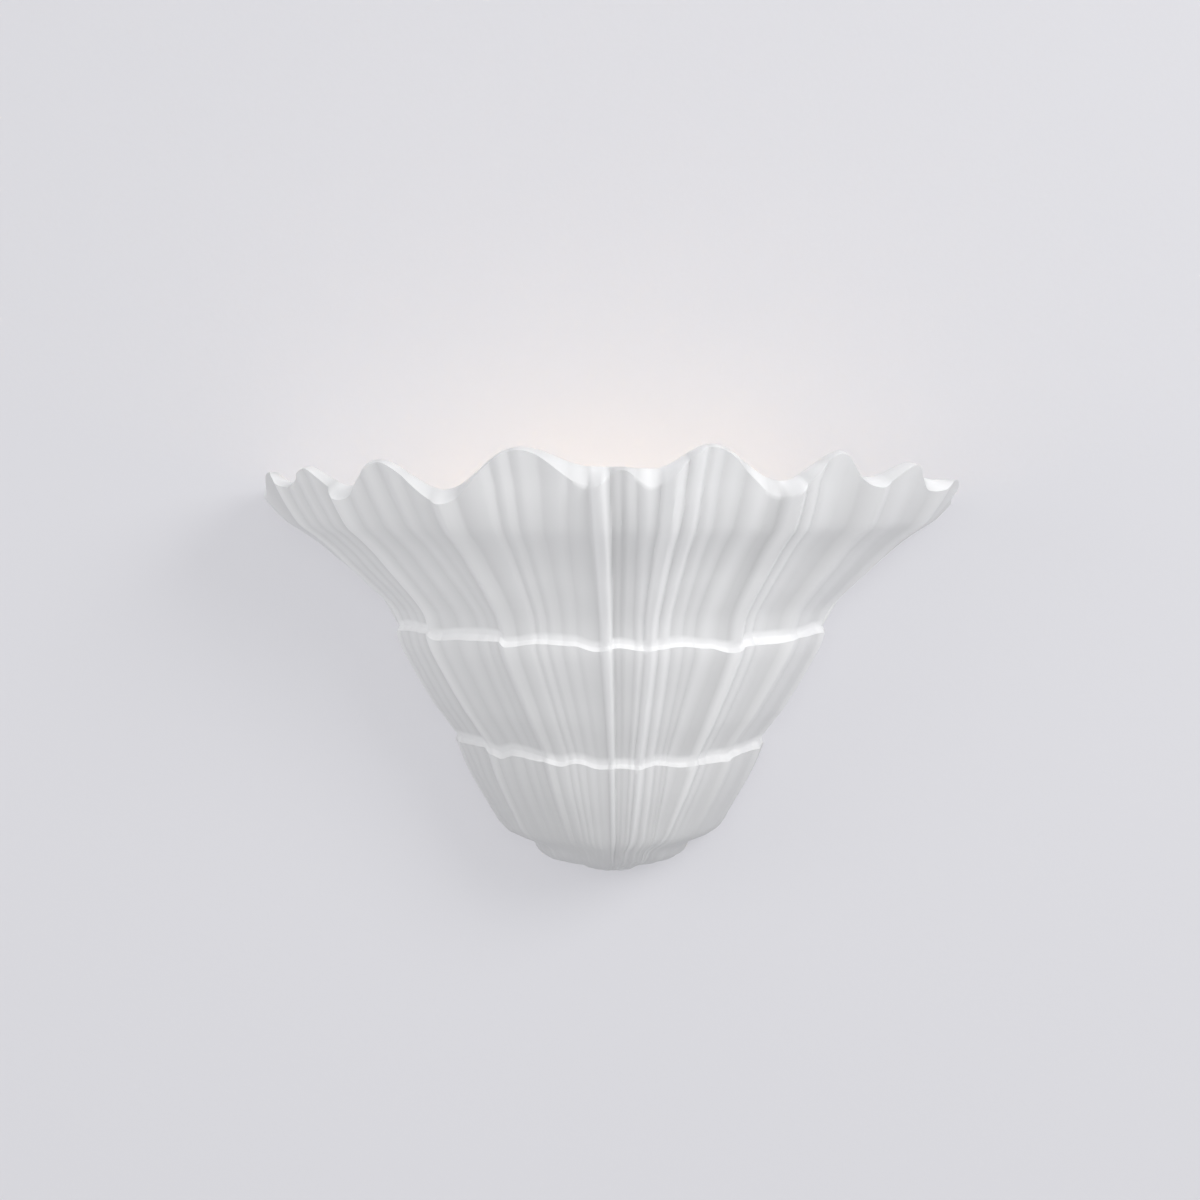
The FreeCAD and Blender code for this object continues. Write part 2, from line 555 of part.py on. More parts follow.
def parts():
    out = {
        "shell": make_shell(),
        "hanger_strap": make_strap(),
        "strap_inserts": make_inserts(),
        "strap_screws": make_strap_screws(),
        "wall_pads": make_pads(),
        "wall_plate": make_plate(),
        "cable_grommet": make_grommet(),
        "terminal_block": make_block(),
        "terminal_clamps": make_clamps(),
        "terminal_screws": make_terminal_screws(),
        "block_screw": make_block_screw(),
        "earth_stud": make_earth_stud(),
        "earth_lug": make_earth_lug(),
        "earth_washer": make_earth_washer(),
        "earth_nut": make_earth_nut(),
        "lamp_bracket": make_bracket(),
        "bracket_screws": make_bracket_screws(),
        "holder_screws": make_holder_screws(),
        "earth_wire": earth_wire(),
    }
    for name, side in (("left", -1), ("right", 1)):
        lamp = side * LAMP_X
        out["lampholder_" + name] = make_holder(lamp)
        out["contacts_" + name] = make_contacts(lamp)
        out["lamp_base_" + name] = make_lamp_base(lamp)
        out["lamp_pins_" + name] = make_lamp_pins(lamp)
        out["lamp_glass_" + name] = make_lamp_glass(lamp)
        out["lamp_core_" + name] = make_lamp_core(lamp)
        inner, outer = -side * PIN_HALF, side * PIN_HALF
        out["live_wire_" + name] = lamp_wire(side, WAY_PITCH, inner, 18, -30)
        out["neutral_wire_" + name] = lamp_wire(side, -WAY_PITCH, outer, 23, -23)
    out["shell"] = out["shell"].cut(out["wall_pads"])
    return out


os.makedirs("parts", exist_ok=True)
for name, shape in parts().items():
    shape.exportStep("parts/" + name + ".step")
    print(name, shape.ShapeType, len(shape.Solids), round(shape.Volume), shape.isValid())
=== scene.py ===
"""Looks for the shell wall sconce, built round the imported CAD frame."""
import json
import math

import bmesh
import bpy
import numpy as np
from mathutils import Matrix, Vector


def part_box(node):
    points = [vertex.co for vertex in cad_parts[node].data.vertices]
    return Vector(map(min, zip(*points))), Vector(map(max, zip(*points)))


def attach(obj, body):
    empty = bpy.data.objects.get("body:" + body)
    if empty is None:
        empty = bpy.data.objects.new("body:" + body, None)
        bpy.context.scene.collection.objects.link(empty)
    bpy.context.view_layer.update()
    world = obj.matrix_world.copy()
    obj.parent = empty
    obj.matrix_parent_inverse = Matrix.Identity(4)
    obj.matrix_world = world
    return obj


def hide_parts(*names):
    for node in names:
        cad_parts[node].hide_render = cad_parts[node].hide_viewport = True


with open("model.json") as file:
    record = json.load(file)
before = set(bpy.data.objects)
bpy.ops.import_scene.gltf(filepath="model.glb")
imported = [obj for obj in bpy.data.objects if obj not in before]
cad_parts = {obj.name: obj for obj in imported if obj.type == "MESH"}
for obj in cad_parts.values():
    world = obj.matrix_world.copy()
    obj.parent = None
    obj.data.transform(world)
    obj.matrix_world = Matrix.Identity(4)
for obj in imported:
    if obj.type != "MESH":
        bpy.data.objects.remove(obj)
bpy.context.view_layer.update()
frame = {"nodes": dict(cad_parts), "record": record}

bl_info = {
    "name": "Shell wall sconce looks",
    "version": (1, 0, 0),
    "blender": (4, 5, 0),
    "location": "3D View > Sidebar > Sconce",
    "description": "Builds the fluted shell, the lamps, their materials and the wall they light",
    "category": "Object",
}

MM = 0.001
SIDES = ("left", "right")

# ---- casting, in millimetres: height, half width and depth of the plan ellipse ----
PROFILE = (
    (-109, 11.5, 17), (-106.5, 15, 28), (-104.6, 18.5, 34), (-103.6, 29, 37), (-102, 33.5, 41),
    (-99, 36.5, 47), (-95, 39, 52.5), (-92.5, 44, 56), (-90.5, 50, 58), (-87, 55, 60.5),
    (-83, 58, 63), (-75, 63, 67), (-65, 69, 71), (-55, 74, 74), (-46, 77.5, 76.5),
    (-35, 83.5, 81), (-25, 89.5, 85.5), (-15, 95.5, 90), (-5, 101, 95), (5, 106, 99.5),
    (12, 108, 101.5), (17, 109.5, 103), (23, 112, 105.5), (30, 118, 109.5),
    (38, 126.5, 114.5), (46, 136, 120), (54, 145.5, 127), (60, 154, 133), (65, 162, 138),
    (72, 169, 143), (80, 176, 147.5), (90, 184, 152), (106, 194.5, 159),
)
# plan angles of the main ridges at rim, upper ledge, lower ledge and foot, then the flute to the right
RIDGES = (
    (0, 0, 0, 0, 3), (30, 12, 15, 20, 3), (44, 35, 41, 40, 2.8), (63.2, 61.3, 66.3, 69.7, 6),
    (88.3, 89, 90.2, 91.3, 3.5), (98.8, 99.9, 100.1, 100.4, 8), (118, 124.8, 122.8, 116, 6.5),
    (133.7, 145, 139.5, 135, 3.6), (151.5, 169, 163, 160, 4), (180, 180, 180, 180, 0),
)
# the same four angles of crests and grooves, then their height
FOLDS = (
    (0, 0, 0, 0, 0), (10, 5, 5, 7, 0.5), (20, 8, 8, 12, -0.5), (26, 10, 11, 15, -0.9),
    (30, 12, 15, 20, 1.4), (31.6, 15, 17, 22, -0.2), (33, 18, 20, 24.5, 0.4), (34.6, 21, 23, 27, -0.3),
    (36, 24, 26, 29.5, 0.4), (37.6, 27, 29, 31.5, -0.3), (39.2, 29.5, 32.5, 33.5, 0.3),
    (41.8, 32.5, 37.5, 36.5, -0.9), (44, 35, 41, 40, 1.4), (47, 39.5, 44, 44, -0.2),
    (48.5, 42, 46.5, 47, 0.35), (50.5, 46, 50, 51, -0.35), (52, 49.5, 53, 55, 0.4),
    (54.5, 53, 56, 58.5, -0.4), (56, 55.5, 58.5, 61, 0.3), (58, 57, 60.5, 63.5, -0.3),
    (59.5, 58.5, 62, 65.5, 0.0), (61.6, 59.6, 64.2, 67.5, -0.55), (63.2, 61.3, 66.3, 69.7, 0.7),
    (66.2, 65.2, 69, 72, -0.5), (71, 68.8, 72.5, 75, 0.4), (72.6, 70.2, 74, 76.5, -0.3),
    (74, 71.5, 75.5, 78, 0.35), (75.5, 73.2, 77, 79.5, -0.3), (77, 74.7, 78.5, 80.5, 0.3),
    (79.5, 77, 80.5, 82, -0.3), (82.2, 79, 82.5, 84, 0.3), (83.6, 81, 84.5, 85.5, -0.2),
    (85, 82.6, 86, 87, 0.15), (86.6, 86.8, 88.7, 89.8, -0.4), (87.6, 88.6, 89.8, 90.9, 1.7),
    (88.5, 89.5, 90.6, 91.7, 1.7), (89.6, 90.4, 91.4, 92.5, -1.6), (90.6, 91.4, 92.2, 93.3, -1.0),
    (91.4, 92.3, 93.2, 94.2, -1.3), (92.4, 93.8, 94.6, 95.2, -0.3), (93.6, 95.7, 96.2, 96.6, -0.6),
    (95.2, 97, 97.3, 98, 0.8), (97, 98.2, 98.4, 99.2, -0.3), (98.8, 99.9, 100.1, 100.4, 2.2),
    (100.6, 101.8, 102.3, 103.5, -0.4), (102.3, 103.6, 104.5, 106.5, 1.5),
    (103.3, 105.3, 106, 108, -0.5), (104.4, 107.4, 107.5, 109.4, 0.5), (106, 109, 109, 110.3, -0.5),
    (107.8, 110.5, 110.2, 111, 0.2), (110, 112.5, 111, 111.7, -0.7), (112.5, 115, 112, 112.5, 0.7),
    (114.5, 119, 116, 113.5, -0.5), (116.2, 122, 120, 114.5, -0.9), (118, 124.8, 122.8, 116, 2.2),
    (119.6, 126.8, 124.6, 118, -0.3), (121, 129, 126.5, 120, 1.1), (122, 130.8, 129, 122.5, -0.2),
    (123.5, 132.5, 131, 125, 0.4), (127, 136, 133.5, 128, -0.2), (130.5, 141, 136.5, 131.5, -0.6),
    (133.7, 145, 139.5, 135, 0.7), (136, 149, 143, 138, -0.3), (139.5, 154, 148, 143, 0.3),
    (144, 159, 153, 148, -0.3), (148.5, 165, 158, 154, -0.4), (151.5, 169, 163, 160, 0.8),
    (156, 172, 168, 166, -0.4), (163, 175, 173, 172, 0.4), (172, 178, 177, 177, -0.2),
    (180, 180, 180, 180, 0),
)
# height, then the share of the folds and of the flutes that shows there
STRENGTH = ((-109, 0.35), (-46, 0.5), (5, 0.68), (40, 1.4), (104, 2.3))
FLUTE = ((-109, -0.4), (-95, -0.3), (-80, 0.1), (-46, 0.3), (10, 0.45), (40, 0.6), (90, 1.0))
# plan angle and height of the two ledges
LEDGE1 = (
    (0, 10), (27, 12.8), (34, 12.6), (38, 10), (48, 11.2), (60, 11.5), (62, 9), (71, 11), (80, 10.2),
    (86, 7.7), (92, 9.4), (98, 8), (108, 9.6), (116, 8.3), (123, 5.8), (128, 8.8), (140, 8.5),
    (148, 10.4), (180, 10.5),
)
LEDGE2 = (
    (0, -44.5), (36, -43.6), (41, -46.6), (45, -48.5), (52, -46.3), (64, -48), (71, -50), (77, -48.4),
    (86, -51), (93, -50.5), (100, -51.2), (106, -49.4), (118, -51.2), (124, -50.3), (138, -50.4),
    (142, -48.3), (148, -47.2), (180, -47),
)
# plan angle, then the share of a full ledge
LEDGE_WIDTH = ((0, 1.1), (20, 1.3), (35, 1.0), (45, 1.5), (60, 1.4), (66, 1.0), (100, 0.9), (122, 1.0),
               (130, 1.7), (142, 1.6), (146, 1.1), (160, 1.6), (180, 1.5))
# plan angle and height of the rim, on its outer and inner edge
RIM_OUTER = (
    (0, 74), (10, 78), (26, 91), (31, 84), (38.5, 93.5), (43.8, 79), (55, 97), (63.1, 78), (77, 103),
    (87.1, 86), (91.4, 94), (95.6, 86), (103.6, 104.4), (116.8, 81), (124, 101), (134, 85), (139.7, 95),
    (151, 82), (157, 87), (166, 81.5), (173, 77), (180, 74),
)
RIM_INNER = (
    (0, 82), (10, 87), (19, 90.5), (28, 84.5), (36.5, 94), (44.5, 85.5), (53.5, 98), (63, 84.5), (77, 104),
    (87, 95.5), (91.4, 95), (96, 94.5), (104, 105.3), (117, 88.5), (125.5, 102), (133.5, 89.5),
    (141.5, 96), (147, 89), (154, 87.5), (162, 81.5), (172, 76.5), (180, 74),
)
WALL = 9.0            # thickness of the casting
FLOOR = 9.0           # thickness of its bottom
BACK = -0.2           # the felt pads hold the casting this far off the wall
FOOT_Z = -108.9
LEDGE1_Z = 10.0       # where the fold angles of the upper ledge hold
LEDGE2_Z = -46.5      # and those of the lower ledge
RIM_SPAN = 78.0       # from the upper ledge to where the rim's angles hold
LEDGE_STEP = 1.8      # how far a lower tier stands proud
LEDGE_RISE = 2.3      # height of its sloped top
RIM_CROWN = 0.8       # roundness of the rim's top
FOOT_ROWS, MIDDLE_ROWS, UPPER_ROWS, INNER_ROWS = 34, 30, 46, 44
LIP_STEPS = (0.06, 0.15, 0.35, 0.6, 0.85, 1.0)
RIM_STEPS = (0.08, 0.22, 0.4, 0.6, 0.78, 0.9)
COLUMNS = 560
# height, then how strongly the folds' painted light and shade (whiter crests, greyer grooves) shows in the
# casting's colour
CREST_SHADE_FADE = ((-109, 0.5), (-46, 0.65), (5, 0.85), (40, 1.0))
SHARP_ANGLE = math.radians(50)

# ---- strap lands, in metres, measured from the hanger strap ----
LAND_DEPTH = 0.015
LAND_MARGIN = 0.002   # above and below the strap
LAND_INSET = 0.013    # inwards from the strap's end
LAND_REACH = (0.006, 0.020)
LAND_EDGE = 0.0012

# ---- lamps and stage, in metres ----
CHIP_MARGIN = 0.002   # bare stick below and above the chips
WALL_GAP = 0.0006
WALL_HALF = 3.0
CLEAR_REACH = 0.003   # rays shorter than this pass the wall
LIGHT_AIM = (0, -0.05, 0)
VIEW_AIM = (-0.0055, 0, 0.0252)
VIEW_WIDTH = 0.6036   # width of the picture at the wall


# ---------------------------------------------------------------- casting shape
def smooth(table, x, column=1):
    """Cubic interpolation through a table sorted by its first column."""
    keys = np.array([row[0] for row in table], float)
    values = np.array([row[column] for row in table], float)
    slopes = np.gradient(values, keys)
    x = np.clip(x, keys[0], keys[-1])
    i = np.clip(np.searchsorted(keys, x, side="right") - 1, 0, len(keys) - 2)
    h = keys[i + 1] - keys[i]
    t = (x - keys[i]) / h
    return (values[i] * (2 * t**3 - 3 * t**2 + 1) + slopes[i] * h * (t**3 - 2 * t**2 + t)
            + values[i + 1] * (3 * t**2 - 2 * t**3) + slopes[i + 1] * h * (t**3 - t**2))


def wave(table, x):
    """Interpolation with a flat tangent at every entry."""
    keys = np.array([row[0] for row in table], float)
    values = np.array([row[1] for row in table], float)
    i = np.clip(np.searchsorted(keys, x, side="right") - 1, 0, len(keys) - 2)
    t = (x - keys[i]) / (keys[i + 1] - keys[i])
    return values[i] + (values[i + 1] - values[i]) * (1 - np.cos(np.pi * t)) / 2


def fold_angles(table, z):
    """Plan angle of every fold at the heights z, one row per fold."""
    rim, upper, lower, foot = (np.array([f[k] for f in table], float)[:, None] for k in range(4))
    up = np.clip((z - LEDGE1_Z) / RIM_SPAN, 0, 1)
    mid = np.clip((z - LEDGE2_Z) / (LEDGE1_Z - LEDGE2_Z), 0, 1)
    low = np.clip((z - FOOT_Z) / (LEDGE2_Z - FOOT_Z), 0, 1)
    return np.where(z >= LEDGE1_Z, upper + (rim - upper) * up,
                    np.where(z >= LEDGE2_Z, lower + (upper - lower) * mid, foot + (lower - foot) * low))


def between(table, phi, z):
    """Index of the fold on the left of every point, and the way across to the next fold."""
    angles = fold_angles(table, z)
    i = np.clip((angles <= phi).sum(axis=0) - 1, 0, len(table) - 2)
    column = np.arange(len(phi))
    start, end = angles[i, column], angles[i + 1, column]
    return i, np.clip((phi - start) / np.maximum(end - start, 1e-6), 0, 1)


def folds_only(phi, z):
    """Rounded crests falling into crisp grooves."""
    i, t = between(FOLDS, phi, z)
    heights = np.array([f[4] for f in FOLDS], float)
    a, b = heights[i], heights[i + 1]
    low, high = np.minimum(a, b), np.maximum(a, b)
    from_groove = np.where(a < b, t, 1 - t)
    return high - (high - low) * (1 - from_groove) ** 1.6


def relief(phi, z):
    """Broad flutes between the ridges, with the folds on top."""
    i, t = between(RIDGES, phi, z)
    depth = np.array([r[4] for r in RIDGES], float)[i] * np.interp(z, *zip(*FLUTE))
    flute = -depth * np.sin(np.pi * t**1.35) ** 0.9
    return flute + folds_only(phi, z) * np.interp(z, *zip(*STRENGTH))


def outer_course(phi, z, inset=0.0):
    """One course on the outside: the plan ellipse moved out along its normal by the relief."""
    angle = np.radians(phi)
    a, b = smooth(PROFILE, z, 1), smooth(PROFILE, z, 2)
    out = relief(phi, z) - inset
    nx, ny = -np.cos(angle) / a, -np.sin(angle) / b
    n = np.hypot(nx, ny)
    x = -a * np.cos(angle) + out * nx / n
    y = -b * np.sin(angle) + out * ny / n
    return np.stack([x, np.minimum(y, BACK), z], axis=1)


def broad_relief(phi, z):
    """The relief with the folds averaged out."""
    return sum(relief(np.clip(phi + d, 0, 180), z) for d in (-6, -4, -2, 0, 2, 4, 6)) / 7


def inner_course(phi, z):
    """One course on the inside, a wall's thickness in."""
    angle = np.radians(phi)
    a, b = smooth(PROFILE, z, 1) - WALL, smooth(PROFILE, z, 2) - WALL
    out = broad_relief(phi, z)
    return np.stack([-(a + out) * np.cos(angle), -(b + out) * np.sin(angle), z], axis=1)


def casting_courses():
    """All courses up the outside, over the rim and down the inside, and which of them are ledge lips."""
    phi = np.linspace(0, 180, COLUMNS + 1)
    one, two = wave(LEDGE1, phi), wave(LEDGE2, phi)
    lip = np.interp(phi, *zip(*LEDGE_WIDTH))
    rim_out, rim_in = wave(RIM_OUTER, phi), wave(RIM_INNER, phi)
    rows, lips = [], []
    for t in np.linspace(0, 1, FOOT_ROWS):
        rows.append(outer_course(phi, FOOT_Z + (two - FOOT_Z) * t**1.4))
    for base, top, count in ((two, one, MIDDLE_ROWS), (one, rim_out, UPPER_ROWS)):
        lips += range(len(rows), len(rows) + len(LIP_STEPS) + 1)
        for t in LIP_STEPS:
            rows.append(outer_course(phi, base + LEDGE_RISE * lip * t, LEDGE_STEP * lip * t**0.8))
        start = base + LEDGE_RISE * lip
        for t in np.linspace(0, 1, count)[1:]:
            inset = LEDGE_STEP * lip * max(0.0, 1 - t / 0.3)
            rows.append(outer_course(phi, start + (top - start) * t, inset))
    outer_edge, inner_edge = rows[-1], inner_course(phi, rim_in)
    for t in RIM_STEPS:
        row = outer_edge + (inner_edge - outer_edge) * t
        row[:, 2] += RIM_CROWN * math.sin(math.pi * t) ** 0.6
        rows.append(row)
    floor = np.full_like(phi, FOOT_Z + FLOOR)
    for t in np.linspace(1, 0, INNER_ROWS):
        rows.append(inner_course(phi, floor + (rim_in - floor) * t))
    for row in rows:
        row[0, 1] = row[-1, 1] = BACK
    return np.array(rows), lips


def mesh_object(name, points, faces):
    mesh = bpy.data.meshes.new(name)
    mesh.from_pydata([tuple(p) for p in points], [], faces)
    mesh.validate()
    obj = bpy.data.objects.new(name, mesh)
    bpy.context.scene.collection.objects.link(obj)
    return obj


def shade_smooth(obj):
    for polygon in obj.data.polygons:
        polygon.use_smooth = True
    obj.data.set_sharp_from_angle(angle=SHARP_ANGLE)


def crest_light_and_shade(phi, rows, lips):
    """Painted light and shade for the casting's colour, course by course: 1 (painted highlight) on the
    crests and ledge lips, 0 (painted shade) in the grooves.
    """
    values = []
    for z in rows[:, :, 2]:
        values.append(np.clip(0.5 + 0.4 * folds_only(phi, z) * np.interp(z, *zip(*CREST_SHADE_FADE)), 0, 1))
    values = np.array(values)
    values[lips] = 1.0
    return values


def casting_mesh():
    """The casting as one closed skin, lofted through its courses."""
    rows, lips = casting_courses()
    count, width = rows.shape[:2]
    faces = []
    for r in range(count - 1):
        for c in range(width - 1):
            i = r * width + c
            faces.append((i, i + 1, i + width + 1, i + width))
    last = (count - 1) * width
    left = [r * width for r in range(count)]
    right = [r * width + width - 1 for r in range(count)]
    faces.append(tuple(range(width - 1, -1, -1)))
    faces.append(tuple(range(last, last + width)))
    faces.append(tuple(left + right[::-1]))
    obj = mesh_object("casting_form", rows.reshape(-1, 3) * MM, faces)
    # the crest attribute carries painted light: painted highlight on crests and ledge lips, painted shade
    # in the grooves
    crest = crest_light_and_shade(np.linspace(0, 180, width), rows, lips)
    obj.data.attributes.new("crest", "FLOAT", "POINT").data.foreach_set("value", crest.ravel())
    return obj


def land_mesh():
    """The two lands inside the casting that the hanger strap is screwed to."""
    low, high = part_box("hanger_strap")
    back, front = low[1], low[1] - LAND_DEPTH
    bottom, top = low[2] - LAND_MARGIN, high[2] + LAND_MARGIN
    inside = high[0] - LAND_INSET
    ring = ((inside, bottom), (high[0] + LAND_REACH[0], bottom),
            (high[0] + LAND_REACH[1], top), (inside, top))
    form = bmesh.new()
    for side in (-1, 1):
        near = [form.verts.new((side * x, back, z)) for x, z in ring]
        far = [form.verts.new((side * x, front, z)) for x, z in ring]
        form.faces.new(near)
        form.faces.new(far[::-1])
        for i in range(4):
            j = (i + 1) % 4
            form.faces.new((near[j], near[i], far[i], far[j]))
    bmesh.ops.recalc_face_normals(form, faces=form.faces[:])
    bmesh.ops.bevel(form, geom=form.edges[:], offset=LAND_EDGE, segments=3, affect="EDGES", profile=0.5)
    obj = mesh_object("strap_lands", [], [])
    form.to_mesh(obj.data)
    form.free()
    # the lands sit halfway between the painted groove shade and the painted crest highlight
    crest = obj.data.attributes.new("crest", "FLOAT", "POINT")
    crest.data.foreach_set("value", [0.5] * len(obj.data.vertices))
    shade_smooth(obj)
    return obj


# ---------------------------------------------------------------- node trees
class Tree:
    """A Geometry Nodes tree with named inputs, ending in Realize Instances and Set Material."""

    def __init__(self, name, inputs):
        self.group = bpy.data.node_groups.new(name, "GeometryNodeTree")
        face = self.group.interface
        self.names = {}
        for label, kind, value in (("Geometry", "NodeSocketGeometry", None), *inputs,
                                   ("Finish", "NodeSocketMaterial", None)):
            socket = face.new_socket(label, in_out="INPUT", socket_type=kind)
            if value is not None:
                socket.default_value = value
            self.names[label] = socket.identifier
        face.new_socket("Geometry", in_out="OUTPUT", socket_type="NodeSocketGeometry")
        self.source = self.group.nodes.new("NodeGroupInput")

    def add(self, kind, inputs=(), **settings):
        """A node with its settings; inputs pairs a socket name or number with a value or another socket."""
        node = self.group.nodes.new(kind)
        for key, value in settings.items():
            setattr(node, key, value)
        for key, value in inputs:
            if isinstance(value, bpy.types.NodeSocket):
                self.group.links.new(value, node.inputs[key])
            else:
                node.inputs[key].default_value = value
        return node

    def given(self, label):
        """The output of the input node that carries a named input."""
        return self.source.outputs[label]

    def math(self, operation, a, b):
        return self.add("ShaderNodeMath", ((0, a), (1, b)), operation=operation).outputs[0]

    def close(self, geometry):
        """Real meshes in the given finish are what the tree gives out."""
        real = self.add("GeometryNodeRealizeInstances", ((0, geometry),))
        finish = self.add("GeometryNodeSetMaterial", ((0, real.outputs[0]),
                                                      ("Material", self.given("Finish"))))
        self.add("NodeGroupOutput", ((0, finish.outputs[0]),))

    def made(self, name, source, **values):
        """The tree's result on the source object, as a plain mesh object of its own."""
        modifier = source.modifiers.new(self.group.name, "NODES")
        modifier.node_group = self.group
        for label, value in values.items():
            modifier[self.names[label.replace("_", " ")]] = value
        graph = bpy.context.evaluated_depsgraph_get()
        mesh = bpy.data.meshes.new_from_object(source.evaluated_get(graph), preserve_all_data_layers=True,
                                               depsgraph=graph)
        bpy.data.objects.remove(source, do_unlink=True)
        mesh.name = name
        obj = bpy.data.objects.new(name, mesh)
        bpy.context.scene.collection.objects.link(obj)
        if not len(mesh.polygons):
            raise RuntimeError(name + " came out empty")
        return obj


def cast_surface_tree():
    """Slight unevenness of a hand-finished casting, fading out at its flat back edge."""
    tree = Tree("cast_surface", (("Unevenness", "NodeSocketFloat", 0.0002),
                                 ("Patch", "NodeSocketFloat", 0.02),
                                 ("Seed", "NodeSocketFloat", 3.0)))
    place = tree.add("GeometryNodeInputPosition").outputs[0]
    scale = tree.math("DIVIDE", 1.0, tree.given("Patch"))
    field = tree.add("ShaderNodeTexNoise", (("Vector", place), ("W", tree.given("Seed")), ("Scale", scale),
                                            ("Detail", 2.0)), noise_dimensions="4D")
    centred = tree.math("SUBTRACT", field.outputs[0], 0.5)
    apart = tree.add("ShaderNodeSeparateXYZ", ((0, place),))
    fade = tree.add("ShaderNodeMapRange", (("Value", apart.outputs["Y"]), ("From Min", -0.001),
                                           ("From Max", -0.008)), interpolation_type="SMOOTHSTEP")
    depth = tree.math("MULTIPLY", tree.math("MULTIPLY", centred, tree.given("Unevenness")), fade.outputs[0])
    normal = tree.add("GeometryNodeInputNormal").outputs[0]
    shift = tree.add("ShaderNodeVectorMath", ((0, normal), ("Scale", depth)), operation="SCALE").outputs[0]
    moved = tree.add("GeometryNodeSetPosition", ((0, tree.given("Geometry")), ("Offset", shift)))
    tree.close(moved.outputs[0])
    return tree


def chip_tree():
    """Light chips standing in rings round the lamp's inner stick."""
    tree = Tree("light_chips", (("Around", "NodeSocketInt", 8), ("Rings", "NodeSocketInt", 7),
                                ("Stick Radius", "NodeSocketFloat", 0.0036),
                                ("Pitch", "NodeSocketFloat", 0.0038),
                                ("Chip Width", "NodeSocketFloat", 0.0018),
                                ("Chip Height", "NodeSocketFloat", 0.0026),
                                ("Chip Depth", "NodeSocketFloat", 0.0006)))
    ring = tree.add("GeometryNodeMeshCircle", (("Vertices", tree.given("Around")),
                                               ("Radius", tree.given("Stick Radius"))))
    outwards = tree.add("GeometryNodeInputPosition").outputs[0]
    turn = tree.add("FunctionNodeAlignEulerToVector", (("Vector", outwards),), axis="X", pivot_axis="Z")
    size = tree.add("ShaderNodeCombineXYZ", ((0, tree.given("Chip Depth")), (1, tree.given("Chip Width")),
                                             (2, tree.given("Chip Height"))))
    chip = tree.add("GeometryNodeMeshCube", (("Size", size.outputs[0]),))
    chips = tree.add("GeometryNodeInstanceOnPoints", (("Points", ring.outputs[0]),
                                                      ("Instance", chip.outputs[0]),
                                                      ("Rotation", turn.outputs[0])))
    step = tree.add("ShaderNodeCombineXYZ", ((2, tree.given("Pitch")),))
    stick = tree.add("GeometryNodeMeshLine", (("Count", tree.given("Rings")), ("Offset", step.outputs[0])))
    rings = tree.add("GeometryNodeInstanceOnPoints", (("Points", stick.outputs[0]),
                                                      ("Instance", chips.outputs[0])))
    tree.close(rings.outputs[0])
    return tree


# ---------------------------------------------------------------- materials
# painted shade: the grooves are painted darker than the crests by this share, and the casting greyer
# towards its foot between these heights
GROOVE_SHADE_SHARE = 0.69 / 0.94      # colour of a groove against that of a crest
FOOT_SHADE_Z, SHADE_FREE_Z = -0.11, 0.03


def new_material(name):
    material = bpy.data.materials.new(name)
    material.use_nodes = True
    nodes = material.node_tree.nodes
    shader = nodes["Principled BSDF"]
    return material, nodes, material.node_tree.links, shader


def object_coords(nodes):
    return nodes.new("ShaderNodeTexCoord").outputs["Object"]


def noise(nodes, links, coords, scale, detail=3.0, roughness=0.5):
    node = nodes.new("ShaderNodeTexNoise")
    node.inputs["Scale"].default_value = scale
    node.inputs["Detail"].default_value = detail
    node.inputs["Roughness"].default_value = roughness
    links.new(coords, node.inputs["Vector"])
    return node.outputs["Fac"]


def ramp(nodes, links, value, stops):
    node = nodes.new("ShaderNodeValToRGB")
    node.color_ramp.elements[0].position, node.color_ramp.elements[0].color = stops[0]
    node.color_ramp.elements[1].position, node.color_ramp.elements[1].color = stops[1]
    links.new(value, node.inputs["Fac"])
    return node.outputs["Color"]


def add_bump(nodes, links, shader, height, strength, distance):
    node = nodes.new("ShaderNodeBump")
    node.inputs["Strength"].default_value = strength
    node.inputs["Distance"].default_value = distance
    links.new(height, node.inputs["Height"])
    links.new(node.outputs["Normal"], shader.inputs["Normal"])


def grey(value):
    return (value, value, value, 1)


